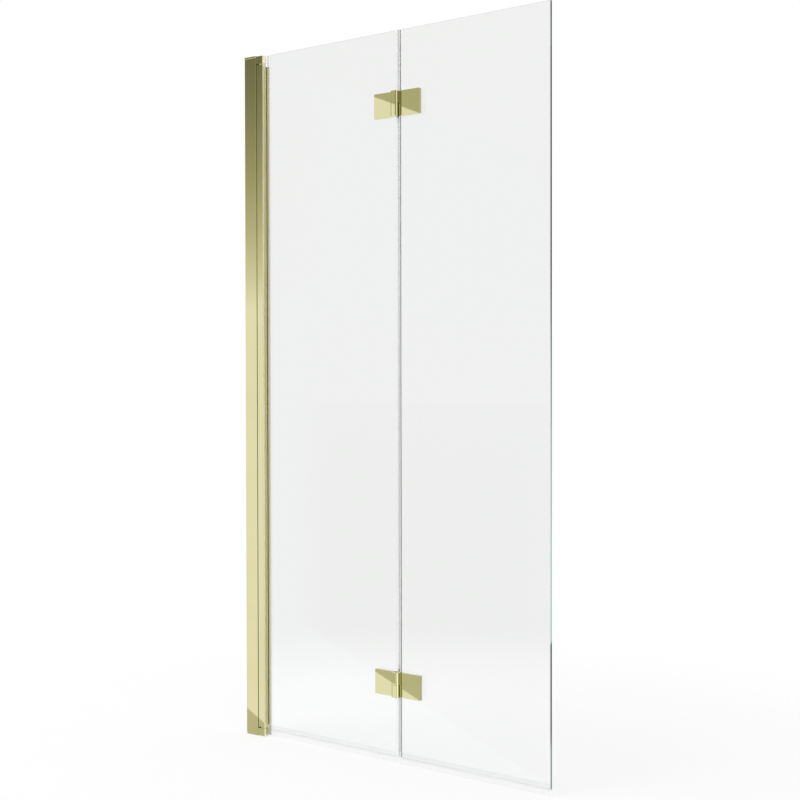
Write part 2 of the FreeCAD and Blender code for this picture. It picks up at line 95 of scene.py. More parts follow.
class Wire:
    """Output socket of a node that takes part in arithmetic."""

    def __init__(self, sheet: "NodeSheet", socket: bpy.types.NodeSocket) -> None:
        """Keep the sheet that owns the socket."""
        self.sheet = sheet
        self.socket = socket

    def other(self, name: str) -> "Wire":
        """Another output of the same node."""
        return Wire(self.sheet, self.socket.node.outputs[name])

    def maths(self, operation: str, left: Any, right: Any) -> "Wire":
        """One Math node on two values."""
        return self.sheet.add("ShaderNodeMath", {"operation": operation}, {0: left, 1: right})

    def __add__(self, other: Any) -> "Wire":
        """Sum."""
        return self.maths("ADD", self, other)

    def __radd__(self, other: Any) -> "Wire":
        """Sum with the number first."""
        return self.maths("ADD", other, self)

    def __sub__(self, other: Any) -> "Wire":
        """Difference."""
        return self.maths("SUBTRACT", self, other)

    def __rsub__(self, other: Any) -> "Wire":
        """Difference with the number first."""
        return self.maths("SUBTRACT", other, self)

    def __mul__(self, other: Any) -> "Wire":
        """Product."""
        return self.maths("MULTIPLY", self, other)

    def __rmul__(self, other: Any) -> "Wire":
        """Product with the number first."""
        return self.maths("MULTIPLY", other, self)

    def __truediv__(self, other: Any) -> "Wire":
        """Quotient."""
        return self.maths("DIVIDE", self, other)

    def __rtruediv__(self, other: Any) -> "Wire":
        """Quotient with the number first."""
        return self.maths("DIVIDE", other, self)

    def __abs__(self) -> "Wire":
        """Size without sign."""
        return self.maths("ABSOLUTE", self, 0.0)

    def __pow__(self, other: Any) -> "Wire":
        """Power."""
        return self.maths("POWER", self, other)

    def __rpow__(self, other: Any) -> "Wire":
        """Power of a number."""
        return self.maths("POWER", other, self)

    def at_least(self, floor: Any) -> "Wire":
        """The value, or a floor where it is lower."""
        return self.maths("MAXIMUM", self, floor)

    def at_most(self, ceiling: Any) -> "Wire":
        """The value, or a ceiling where it is higher."""
        return self.maths("MINIMUM", self, ceiling)

    def step(self, start: float, end: float, low: float = 0.0, high: float = 1.0) -> "Wire":
        """Smooth change from one level to another.

        Args:
            start: Value at which the change begins.
            end: Value at which it is complete.
            low: Level before the change.
            high: Level after it.

        Returns:
            The level, held constant outside the change.
        """
        settings = {"interpolation_type": "SMOOTHSTEP"}
        values = {"Value": self, "From Min": start, "From Max": end, "To Min": low, "To Max": high}
        if start > end:
            values.update({"From Min": end, "From Max": start, "To Min": high, "To Max": low})
        return self.sheet.add("ShaderNodeMapRange", settings, values)

    def above(self, limit: float, edge: float) -> "Wire":
        """One over a limit, nothing under it, with a soft edge."""
        return self.step(limit - edge, limit + edge)

    def below(self, limit: float, edge: float) -> "Wire":
        """One under a limit, nothing over it, with a soft edge."""
        return self.step(limit + edge, limit - edge)

    def within(self, low: float, high: float, edge: float) -> "Wire":
        """One between two limits, nothing outside them, with soft edges."""
        return self.above(low, edge) * self.below(high, edge)

    def towards(self, target: Any, share: "Wire") -> "Wire":
        """The value, moved towards a target by a share."""
        return self + share * (target - self)


class NodeSheet:
    """Node tree of one material or of the world."""

    def __init__(self, tree: bpy.types.NodeTree) -> None:
        """Start with an empty tree."""
        self.tree = tree
        self.tree.nodes.clear()

    def add(self, kind: str, settings: dict[str, Any], values: dict[Key, Any], output: Key = 0) -> Wire:
        """Make one node.

        Args:
            kind: Type of the node.
            settings: Properties, set before any socket.
            values: Sockets by name or number, each given a value or a wire.
            output: Output that is returned.

        Returns:
            The chosen output as a wire; the first input where the node has no output.
        """
        node = self.tree.nodes.new(kind)
        for name, setting in settings.items():
            setattr(node, name, setting)
        for name, value in values.items():
            socket = node.inputs[name]
            if isinstance(value, Wire):
                self.tree.links.new(value.socket, socket)
            else:
                socket.default_value = (*value, 1.0) if socket.type == "RGBA" else value
        return Wire(self, node.outputs[output] if node.outputs else node.inputs[0])

    def place(self, scale: Triple = (1.0, 1.0, 1.0)) -> Wire:
        """Object coordinates, stretched along each axis."""
        values = {"Vector": self.add("ShaderNodeTexCoord", {}, {}, "Object"), "Scale": scale}
        return self.add("ShaderNodeMapping", {"vector_type": "POINT"}, values)

    def spot(self, axis: str) -> Wire:
        """One of the Object coordinates."""
        return self.add("ShaderNodeSeparateXYZ", {}, {0: self.place()}, axis)

    def facing(self, axis: str) -> Wire:
        """One component of the normal."""
        normal = self.add("ShaderNodeTexCoord", {}, {}, "Normal")
        return self.add("ShaderNodeSeparateXYZ", {}, {0: normal}, axis)

    def noise(self, place: Wire, scale: float = 1.0, detail: float = 2.0) -> Wire:
        """Noise between 0 and 1 at a place."""
        return self.add("ShaderNodeTexNoise", {}, {"Vector": place, "Scale": scale, "Detail": detail}, "Fac")

    def blend(self, share: Any, first: Any, second: Any) -> Wire:
        """Mix of two colours by a share."""
        return self.add("ShaderNodeMix", {"data_type": "RGBA"}, {"Factor": share, 6: first, 7: second}, 2)

    def grey(self, level: Wire, blue: Wire) -> Wire:
        """Colour with equal red and green."""
        return self.add("ShaderNodeCombineColor", {}, {0: level, 1: level, 2: blue})

    def bump(self, height: Wire, strength: float, distance: float) -> Wire:
        """Normal bent by a height in metres."""
        return self.add("ShaderNodeBump", {}, {"Height": height, "Strength": strength, "Distance": distance})

    def principled(self, values: dict[str, Any]) -> Wire:
        """The usual surface shader."""
        return self.add("ShaderNodeBsdfPrincipled", {}, values)

    def mix(self, share: Wire, first: Wire, second: Wire) -> Wire:
        """Mix of two shaders by a share."""
        return self.add("ShaderNodeMixShader", {}, {0: share, 1: first, 2: second})

    def path(self) -> Wire:
        """One for rays from the camera; other outputs tell the other kinds of ray."""
        return self.add("ShaderNodeLightPath", {}, {}, "Is Camera Ray")

    def surface(self, shader: Wire) -> None:
        """Send a shader to the material's output."""
        self.add("ShaderNodeOutputMaterial", {}, {"Surface": shader})


def new_material(name: str) -> tuple[bpy.types.Material, NodeSheet]:
    """Empty material and its sheet.

    Args:
        name: Name of the material.

    Returns:
        The material and its cleared node sheet.
    """
    material = bpy.data.materials.new(name)
    material.use_nodes = True
    return material, NodeSheet(material.node_tree)


Patch = tuple[Wire, Union[Wire, Colour], float]


@dataclass(frozen=True)
class Ramp:
    """Smooth change of a level with a value."""

    start: float
    end: float
    low: float = 0.0
    high: float = 1.0

    def on(self, wire: Wire) -> Wire:
        """The level for a value."""
        return wire.step(self.start, self.end, self.low, self.high)


@dataclass(frozen=True)
class Finish:
    """Finish with a node material of its own."""

    look: Look

    def shader(self, sheet: NodeSheet) -> Wire:
        """Surface shader, which each kind of finish makes for itself."""
        raise NotImplementedError(self.look.value)

    def material(self) -> bpy.types.Material:
        """Node material of this finish.

        Returns:
            The material with the finish's shader.
        """
        material, sheet = new_material(self.look.value + "_finish")
        sheet.surface(self.shader(sheet))
        return material


@dataclass(frozen=True)
class PolishedGold(Finish):
    """Polished, lacquered light-gold metal with faint polishing lines."""

    look: Look = Look.GOLD
    bright: Colour = (0.745, 0.715, 0.415)
    deep: Colour = (0.725, 0.69, 0.39)
    gloss: float = 0.006
    line_depth: float = 0.008
    line_stretch: Triple = (900.0, 900.0, 14.0)
    line_relief: Span = (0.003, 0.0001)
    cloud_scale: float = 9.0
    cloud_detail: float = 3.0
    cloud_tone: Ramp = Ramp(0.35, 0.7)
    cloud_gloss: Ramp = Ramp(0.4, 0.8, 0.0, 0.008)
    coat: float = 0.15
    coat_gloss: float = 0.02
    # Painted light: bright colour on the side of the nose, standing in for the light of the pale jaws beside
    # it.
    painted_light: Colour = (0.98, 0.955, 0.68)
    painted_light_span: Span = (0.0567, 0.0572)
    painted_light_edges: Span = (0.0001, 0.00005)

    def painted_light_side(self, along: Wire) -> Wire:
        """One on the satin side of the nose, whose bright colour is painted light that stands in for the pale
        jaws beside it.
        """
        low, high = self.painted_light_span
        return along.above(low, self.painted_light_edges[0]) * along.step(high, high - self.painted_light_edges[1])

    def patches(self, sheet: NodeSheet) -> list[Patch]:
        """Places unlike the polished faces, of which plain gold has none."""
        return []

    def shader(self, sheet: NodeSheet) -> Wire:
        """Polished metal under a thin coat.

        Args:
            sheet: Node sheet of the material.

        Returns:
            The surface shader.
        """
        cloud = sheet.noise(sheet.place(), self.cloud_scale, self.cloud_detail)
        lines = sheet.noise(sheet.place(self.line_stretch))
        colour = sheet.blend(self.cloud_tone.on(cloud), self.bright, self.deep)
        rough = self.gloss + self.cloud_gloss.on(cloud) + lines * self.line_depth
        # Patches lay painted light, painted shade and real finishes over the metal's colour.
        for mask, tone, added in self.patches(sheet):
            colour = sheet.blend(mask, colour, tone)
            rough = rough + mask * added
        return sheet.principled({
            "Base Color": colour, "Metallic": 1.0, "Roughness": rough,
            "Normal": sheet.bump(lines, *self.line_relief),
            "Coat Weight": self.coat, "Coat Roughness": self.coat_gloss,
        })


@dataclass(frozen=True)
class GoldExtrusion(PolishedGold):
    """Gold profile with satin jaws and a rough round seat, where no polishing wheel reaches; painted shade
    darkens the seat and the inner corner at the jaws' foot, and painted light brightens the side of the nose.
    """

    look: Look = Look.EXTRUSION
    # Painted shade: the dark colour of the round seat, deep inside the profile.
    painted_shade: Colour = (0.10, 0.085, 0.035)
    dull_rough: float = 0.45
    satin: Colour = (0.62, 0.615, 0.48)
    rim: Colour = (0.95, 0.94, 0.86)
    # Painted shade in the inner corner where the nose meets the jaws.
    painted_crease_shade: Colour = (0.06, 0.055, 0.03)
    axis: Span = (0.047, -0.009)
    seat_half: float = 0.0058
    seat_radius: float = 0.0121
    jaw_start: float = 0.0572
    jaw_rim: float = 0.0659
    jaw_rough: float = 0.3
    side_rough: float = 0.7
    foot: Span = (0.0581, 0.0606)
    foot_depth: Span = (-0.0057, -0.0045)
    edge: float = 0.00005

    def patches(self, sheet: NodeSheet) -> list[Patch]:
        """The side of the nose with painted light, the satin jaws, painted shade in the inner corner at their
        foot, and painted shade in the seat.

        Args:
            sheet: Node sheet of the material.

        Returns:
            Mask, colour and added roughness of each.
        """
        along = sheet.spot("X")
        depth = along.other("Y")
        east = along - self.axis[0]
        north = abs(depth - self.axis[1])
        reach = (east * east + north * north) ** 0.5
        edge = self.edge
        # The round seat, which takes painted shade.
        seat = north.below(self.seat_half, edge) * reach.below(self.seat_radius, edge) * east.below(0.0, edge)
        jaw = along.above(self.jaw_start, edge)
        brushed = sheet.blend(along.above(self.jaw_rim, edge), self.satin, self.rim)
        # Where the painted shade of the inner corner at the jaws' foot lies.
        foot = along.within(*self.foot, edge) * depth.within(*self.foot_depth, edge)
        return [
            (self.painted_light_side(along), self.painted_light, self.side_rough), (jaw, brushed, self.jaw_rough),
            (foot, self.painted_crease_shade, 0.0), (seat, self.painted_shade, self.dull_rough),
        ]


@dataclass(frozen=True)
class GoldLeaf(PolishedGold):
    """Gold hinge leaf, rougher and with painted shade where it lies behind the other leaf's knuckle."""

    look: Look = Look.LEAF
    # Painted shade in the pocket and behind the other leaf's knuckle.
    painted_shade: Colour = (0.03, 0.024, 0.006)
    dull_rough: float = 0.45
    pin: Span = (0.4325, -0.0155)
    heights: Ramp = Ramp(-0.1, 0.1, -0.584, 0.599)
    pocket: Span = (0.0093, 0.00946)
    knuckle_sweep: float = 0.0085
    knuckle_rear: float = 0.0005
    # Painted shade on the concave fillets beside the knuckle, dimming their bright reflection.
    fillet_shade: Colour = (0.29, 0.275, 0.12)
    fillet_span: Span = (0.0083, 0.0095)
    fillet_depth: Span = (-0.0020, 0.00428)
    # Painted shade at the ends of the leaf, dimming the bright reflection of their chamfers.
    end: Colour = (0.47, 0.465, 0.27)
    shaded_end_start: float = 0.0589
    edge: float = 0.00003
    quarter_edge: float = 1e-7

    def patches(self, sheet: NodeSheet) -> list[Patch]:
        """Painted shade on the fillets, at the ends, and in the pocket with the rear of the knuckle.

        Args:
            sheet: Node sheet of the material.

        Returns:
            Mask, colour and added roughness of each.
        """
        along = sheet.spot("X")
        height = along.other("Z")
        east = along - self.pin[0]
        north = along.other("Y") - self.pin[1]
        reach = (east * east + north * north) ** 0.5
        rise = height - self.heights.on(height)
        across = abs(east)
        edge = self.edge
        # The pocket's wall and the knuckle's rear take painted shade on the quarter behind the other knuckle.
        wall = reach.within(*self.pocket, edge)
        rear = north.above(self.knuckle_rear, edge) * reach.below(self.knuckle_sweep, edge)
        dark = (wall + rear).at_most(1.0) * (east * rise).below(0.0, self.quarter_edge)
        shaded_hollow = across.within(*self.fillet_span, edge) * north.within(*self.fillet_depth, edge)
        # The ends of the leaf, which take painted shade.
        end = across.above(self.shaded_end_start, edge)
        return [(shaded_hollow, self.fillet_shade, 0.0), (end, self.end, 0.0), (dark, self.painted_shade, self.dull_rough)]


@dataclass(frozen=True)
class GoldCap(PolishedGold):
    """Gold end cap; the lower one has a fine parting line in line with the groove above it, and painted shade
    on its front corner.
    """

    look: Look = Look.CAP
    line: Colour = (0.42, 0.39, 0.2)
    line_span: Span = (0.0373, 0.0387)
    line_top: float = -0.7318
    line_rough: float = 0.3
    # Painted shade on the lower cap's front corner, dimming its bright reflection.
    corner: Colour = (0.46, 0.455, 0.34)
    shaded_corner_span: Span = (0.0553, 0.0567)
    edge: float = 0.0002

    def patches(self, sheet: NodeSheet) -> list[Patch]:
        """The lower cap's corner with painted shade, the side with painted light, and the parting line.

        Args:
            sheet: Node sheet of the material.

        Returns:
            Mask, colour and added roughness of each.
        """
        along = sheet.spot("X")
        lower = along.other("Z").below(self.line_top, self.edge)
        line = along.within(*self.line_span, self.edge) * lower
        # The lower cap's corner, which takes painted shade.
        corner = along.within(*self.shaded_corner_span, self.edge) * lower
        side = self.painted_light_side(along)
        return [(corner, self.corner, 0.0), (side, self.painted_light, 0.0), (line, self.line, self.line_rough)]


@dataclass(frozen=True)
class ClearGlass(Finish):
    """Toughened clear glass whose polished edges show the green of the sheet; along the free edge, painted
    light and painted shade stand in for reflections within the glass.
    """

    look: Look = Look.GLASS
    face: Colour = (0.985, 0.996, 0.991)
    ior: float = 1.5
    film_scale: float = 6.0
    film_detail: float = 4.0
    film_gloss: Ramp = Ramp(0.5, 0.9, 0.0, 0.012)
    # Free edge: painted shade and painted light standing in for reflections within the glass; the pale
    # stretches also carry the glass's own green.
    edge_painted_shade: Colour = (0.03, 0.033, 0.032)
    edge_green_painted_light: Colour = (0.52, 0.73, 0.66)
    edge_front_painted_light: Colour = (0.80, 0.97, 0.91)
    edge_front_painted_shade: Colour = (0.42, 0.46, 0.45)
    edge_seam: Colour = (0.95, 0.97, 0.96)
    edge_outer: Colour = (0.16, 0.17, 0.168)
    edge_share: float = 0.92
    edge_gloss: float = 0.08
    edge_facing: Ramp = Ramp(0.8, 0.95)
    free_start: Ramp = Ramp(0.79, 0.791)
    front_part: Ramp = Ramp(-0.0008, -0.0014)
    front_lit: Ramp = Ramp(0.0, 0.3)
    pale_top: Ramp = Ramp(0.28, -0.32)
    pale_end: Ramp = Ramp(-0.462, -0.452)
    pale_foot: Ramp = Ramp(-0.62, -0.68, 0.0, 0.28)
    drift_scale: float = 5.0
    drift: Ramp = Ramp(0.5, 0.7, 0.0, 0.12)
    outer_span: Span = (0.4345, 0.4365)
    inner_span: Span = (0.4285, 0.4305)
    span_edge: float = 0.0001
    level_share: float = 0.85
    level_facing: Ramp = Ramp(0.4, 0.6)
    arris: Colour = (0.98, 1.0, 0.99)
    arris_share: float = 0.85
    arris_rough: Span = (0.4, 0.1)
    arris_facing: tuple[Ramp, Ramp] = (Ramp(0.4, 0.6), Ramp(0.95, 0.85))

    def edge_mask(self, sheet: NodeSheet) -> Wire:
        """One on the edges of the sheet, nothing on its faces and chamfers."""
        along = sheet.facing("X")
        return self.edge_facing.on(abs(along).at_least(abs(along.other("Z"))))

    def free_mask(self, sheet: NodeSheet) -> Wire:
        """One near the free edge of the screen, nothing elsewhere."""
        return self.free_start.on(sheet.spot("X"))

    def arris_mask(self, sheet: NodeSheet) -> Wire:
        """One on the narrow ground chamfers between a face and an edge."""
        across = abs(sheet.facing("Y"))
        return self.arris_facing[0].on(across) * self.arris_facing[1].on(across)

    def level_body(self, sheet: NodeSheet) -> Wire:
        """Opacity of the rims.

        Args:
            sheet: Node sheet of the material.

        Returns:
            Whole on the upright rims; thin on the level ones and on the inner pane's rim at the seam.
        """
        level = self.level_facing.on(abs(sheet.facing("Z")))
        inner = sheet.spot("X").within(*self.inner_span, self.span_edge)
        return 1.0 - level.at_least(inner) * self.level_share

    def edge_tone(self, sheet: NodeSheet) -> Wire:
        """Colour of the edges.

        Args:
            sheet: Node sheet of the material.

        Returns:
            Pale all round, but grey on the outer pane's edge at the seam; the free edge has long stretches of
            painted light and painted shade in its rear part, standing in for reflections within the glass,
            and its front part has painted light, dimmer beside the stretches of painted shade.
        """
        height = sheet.spot("Z")
        drift = sheet.noise(sheet.place((0.0, 0.0, 1.0)), self.drift_scale)
        # Share of painted light along the free edge; the rest takes painted shade.
        pale = self.pale_top.on(height) * self.pale_end.on(height) + self.pale_foot.on(height)
        pale = (pale + self.drift.on(drift)).at_most(1.0)
        behind = sheet.blend(pale, self.edge_painted_shade, self.edge_green_painted_light)
        strip = sheet.blend(self.front_lit.on(pale), self.edge_front_painted_shade, self.edge_front_painted_light)
        free = sheet.blend(self.front_part.on(height.other("Y")), behind, strip)
        outer = height.other("X").within(*self.outer_span, self.span_edge)
        seam = sheet.blend(outer, self.edge_seam, self.edge_outer)
        return sheet.blend(self.free_mask(sheet), seam, free)

    def shader(self, sheet: NodeSheet) -> Wire:
        """Clear faces, coloured edges and ground chamfers.

        Args:
            sheet: Node sheet of the material.

        Returns:
            The surface shader.
        """
        film = sheet.noise(sheet.place(), self.film_scale, self.film_detail)
        clear = sheet.principled({
            "Base Color": self.face, "Roughness": self.film_gloss.on(film), "IOR": self.ior,
            "Transmission Weight": 1.0,
        })
        tone = self.edge_tone(sheet)
        body = self.level_body(sheet)
        edge = sheet.principled({
            "Base Color": tone, "Roughness": self.edge_gloss, "IOR": self.ior, "Alpha": body,
        })
        pane = sheet.mix(self.edge_mask(sheet) * self.edge_share, clear, edge)
        rim = sheet.blend(self.free_mask(sheet), self.arris, tone)
        least, spread = self.arris_rough
        ground = sheet.principled({"Base Color": rim, "Roughness": least + film * spread, "Alpha": body})
        return sheet.mix(self.arris_mask(sheet) * self.arris_share, pane, ground)


@dataclass(frozen=True)
class ClearSeal(Finish):
    """Clear extruded vinyl, faintly hazy and drawn along its length; its bulb takes painted shade as it turns
    away, standing in for the dark rims of a clear tube.
    """

    look: Look = Look.SEAL
    clear: Colour = (0.88, 0.90, 0.90)
    haze: Colour = (0.80, 0.82, 0.825)
    haze_tone: Ramp = Ramp(0.35, 0.75)
    stretch: Triple = (6.0, 900.0, 900.0)
    relief: Span = (0.05, 0.0002)
    rough: Span = (0.08, 0.1)
    ior: float = 1.45
    body: float = 0.035
    cloud: float = 0.04
    # Painted shade on the bulb where it turns away, standing in for the dark rims of a clear tube.
    turned: Colour = (0.12, 0.124, 0.124)
    turned_share: float = 0.5
    turned_facing: Ramp = Ramp(0.35, 0.6)
    bulb_start: float = 0.4307
    bulb_edge: float = 0.0001
    bulb_facing: Ramp = Ramp(0.2, 0.05)

    def shader(self, sheet: NodeSheet) -> Wire:
        """Thin vinyl that lets most of the light through.

        Args:
            sheet: Node sheet of the material.

        Returns:
            The surface shader.
        """
        drawn = sheet.noise(sheet.place(self.stretch))
        upright = self.bulb_facing.on(abs(sheet.facing("Z")))
        bulb = upright * sheet.spot("X").above(self.bulb_start, self.bulb_edge)
        # Where the bulb takes painted shade.
        away = self.turned_facing.on(sheet.add("ShaderNodeLayerWeight", {}, {"Blend": 0.5}, "Facing")) * bulb
        colour = sheet.blend(self.haze_tone.on(drawn), self.clear, self.haze)
        least, spread = self.rough
        return sheet.principled({
            "Base Color": sheet.blend(away, colour, self.turned), "Roughness": least + drawn * spread,
            "Normal": sheet.bump(drawn, *self.relief), "IOR": self.ior,
            "Alpha": self.body + drawn * self.cloud + away * self.turned_share,
        })


@dataclass(frozen=True)
class SealEnd(ClearSeal):
    """The same vinyl in the thick, with the gold seen through it painted into its colour."""

    look: Look = Look.SEAL_END
    # Painted light: the colour of the gold seen through the thick vinyl.
    clear: Colour = (0.60, 0.585, 0.46)
    haze: Colour = (0.52, 0.505, 0.39)
    body: float = 0.75
    cloud: float = 0.15


@dataclass(frozen=True)
class GrainFinish(Finish):
    """Two tones mixed by a grain, which also bends the surface and varies its gloss."""

    light: Colour
    dark: Colour
    relief: Span
    rough: Span
    stretch: Triple = (1.0, 1.0, 1.0)
    scale: float = 1.0
    detail: float = 2.0
    tone: Optional[Ramp] = Ramp(0.3, 0.7)
    metallic: float = 0.0
    glow: float = 0.0

    def shader(self, sheet: NodeSheet) -> Wire:
        """Grained surface, with painted light of its own where the finish has a glow.

        Args:
            sheet: Node sheet of the material.

        Returns:
            The surface shader.
        """
        grain = sheet.noise(sheet.place(self.stretch), self.scale, self.detail)
        colour = sheet.blend(self.tone.on(grain) if self.tone else grain, self.dark, self.light)
        least, spread = self.rough
        values = {
            "Base Color": colour, "Metallic": self.metallic, "Roughness": least + grain * spread,
            "Normal": sheet.bump(grain, *self.relief),
        }
        # Painted light: emission on a part that is no lamp.
        if self.glow:
            values.update({"Emission Color": colour, "Emission Strength": self.glow})
        return sheet.principled(values)


@dataclass(frozen=True)
class PlainAluminium(GrainFinish):
    """Mill-finished extrusion with drawn lines along its length."""

    look: Look = Look.ALUMINIUM
    light: Colour = (0.62, 0.63, 0.64)
    dark: Colour = (0.48, 0.49, 0.50)
    stretch: Triple = (700.0, 700.0, 3.0)
    detail: float = 3.0
    relief: Span = (0.12, 0.0003)
    rough: Span = (0.28, 0.15)
    metallic: float = 1.0


@dataclass(frozen=True)
class GreyRubber(GrainFinish):
    """Soft pale grey rubber with a fine mould texture and a painted glow, standing in for the light that
    reaches it through the glass that it touches.
    """

    look: Look = Look.RUBBER
    light: Colour = (0.80, 0.795, 0.80)
    dark: Colour = (0.68, 0.675, 0.68)
    scale: float = 1500.0
    detail: float = 3.0
    relief: Span = (0.2, 0.0002)
    rough: Span = (0.5, 0.2)
    tone: Optional[Ramp] = None
    # Painted light: a glow standing in for the light that reaches the rubber through the glass.
    glow: float = 0.12


@dataclass(frozen=True)
class WhitePlastic(GrainFinish):
    """Moulded white acetal with a soft sheen."""

    look: Look = Look.WHITE
    light: Colour = (0.80, 0.80, 0.78)
    dark: Colour = (0.70, 0.70, 0.68)
    scale: float = 800.0
    relief: Span = (0.08, 0.0002)
    rough: Span = (0.32, 0.12)


@dataclass(frozen=True)
class BlackPlastic(WhitePlastic):
    """Moulded black acetal."""

    look: Look = Look.BLACK
    light: Colour = (0.035, 0.034, 0.03)
    dark: Colour = (0.018, 0.017, 0.015)


@dataclass(frozen=True)
class BrightSteel(GrainFinish):
    """Turned stainless steel with rings round its axis."""

    look: Look = Look.STEEL
    light: Colour = (0.66, 0.66, 0.65)
    dark: Colour = (0.50, 0.50, 0.50)
    stretch: Triple = (20.0, 20.0, 2500.0)
    relief: Span = (0.1, 0.0001)
    rough: Span = (0.16, 0.14)
    metallic: float = 1.0


class Finishes:
    """The materials of the screen, made once and put on nodes and pieces."""

    def __init__(self) -> None:
        """Make each finish."""
        kinds = (
            PolishedGold(), GoldExtrusion(), GoldLeaf(), GoldCap(), PlainAluminium(), ClearGlass(),
            ClearSeal(), SealEnd(), GreyRubber(), WhitePlastic(), BlackPlastic(), BrightSteel(),
        )
        self.materials = {kind.look: kind.material() for kind in kinds}

    def dress(self, piece: bpy.types.Object, look: Look) -> None:
        """Give a node or a new piece one finish all over.

        Args:
            piece: Object to dress.
            look: Finish it takes.
        """
        piece.data.materials.clear()
        piece.data.materials.append(self.materials[look])
        LOG.info("%s takes %s", piece.name, look.value)

    def dress_nodes(self, nodes: dict[str, Look]) -> None:
        """Dress CAD nodes by name."""
        for name, look in nodes.items():
            self.dress(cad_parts[name], look)


class Bench:
    """Hand tools that shape one new piece in edit mode."""

    def __init__(self, name: str, low: Vector, high: Vector, sides: int = 0) -> None:
        """Start from a block, or from an upright bar with a number of sides.

        Args:
            name: Name of the new piece.
            low: Lowest corner.
            high: Highest corner.
            sides: Number of sides of a bar.
        """
        bpy.ops.object.select_all(action="DESELECT")
        middle = (low + high) / 2
        if sides:
            bpy.ops.mesh.primitive_cylinder_add(vertices=sides, radius=0.5, depth=1.0, location=middle)
        else:
            bpy.ops.mesh.primitive_cube_add(size=1.0, location=middle)
        self.piece = bpy.context.object
        self.piece.name = name
        self.piece.scale = high - low
        bpy.ops.object.transform_apply(location=True, rotation=True, scale=True)
        bpy.ops.object.mode_set(mode="EDIT")
        bpy.ops.mesh.select_mode(type="FACE")

    def cut(self, point: Vector, across: Vector) -> None:
        """Slice every face by a plane."""
        bpy.ops.mesh.select_all(action="SELECT")
        bpy.ops.mesh.bisect(plane_co=point, plane_no=across)

    def pick(self, test: Test) -> None:
        """Select faces by their place and normal.

        Args:
            test: Says whether a face with this centre and normal is wanted.
        """
        mesh = bmesh.from_edit_mesh(self.piece.data)
        for face in mesh.faces:
            face.select_set(test(face.calc_center_median(), face.normal))
        mesh.select_flush_mode()
        bmesh.update_edit_mesh(self.piece.data)

    def round_off(self, test: Test, radius: float) -> None:
        """Round edges chosen by their place and direction.

        Args:
            test: Says whether an edge with this middle and direction is wanted.
            radius: Radius of the rounding.
        """
        bpy.ops.mesh.select_mode(type="EDGE")
        mesh = bmesh.from_edit_mesh(self.piece.data)
        for edge in mesh.edges:
            first, second = (corner.co for corner in edge.verts)
            edge.select_set(test((first + second) / 2, (second - first).normalized()))
        mesh.select_flush_mode()
        bmesh.update_edit_mesh(self.piece.data)
        bpy.ops.mesh.bevel(offset=radius, segments=ROUND_STEPS, affect="EDGES")
        bpy.ops.mesh.select_mode(type="FACE")

    def pull(self, *offsets: Vector) -> None:
        """Extrude the selected faces, once for each offset."""
        for offset in offsets:
            bpy.ops.mesh.extrude_region_move(TRANSFORM_OT_translate={"value": offset})

    def taper(self, factors: Vector, centre: Vector) -> None:
        """Scale the selected faces about a point."""
        bpy.ops.transform.resize(value=factors, center_override=centre)

    def smoothed(self, modifier: bpy.types.Modifier) -> bpy.types.Object:
        """Apply the last modifier and shade the piece.

        Args:
            modifier: Modifier of the piece.

        Returns:
            The finished piece.
        """
        bpy.ops.object.modifier_apply(modifier=modifier.name)
        bpy.ops.object.shade_smooth_by_angle(angle=SMOOTH_ANGLE)
        return self.piece

    def done(self) -> bpy.types.Object:
        """Close the mesh and soften its rims.

        Returns:
            The finished piece.
        """
        bpy.ops.mesh.select_all(action="SELECT")
        bpy.ops.mesh.remove_doubles(threshold=WELD)
        bpy.ops.mesh.normals_make_consistent(inside=False)
        bpy.ops.object.mode_set(mode="OBJECT")
        bevel = self.piece.modifiers.new("rim", "BEVEL")
        bevel.width = RIM
        bevel.segments = RIM_STEPS
        bevel.limit_method = "ANGLE"
        return self.smoothed(bevel)

    def hollowed(self, thickness: float) -> bpy.types.Object:
        """Take the selected faces away and give the rest a wall to its inside.

        Args:
            thickness: Thickness of the wall.

        Returns:
            The finished piece.
        """
        bpy.ops.mesh.delete(type="FACE")
        bpy.ops.object.mode_set(mode="OBJECT")
        wall = self.piece.modifiers.new("wall", "SOLIDIFY")
        wall.thickness = thickness
        wall.offset = -1.0
        return self.smoothed(wall)


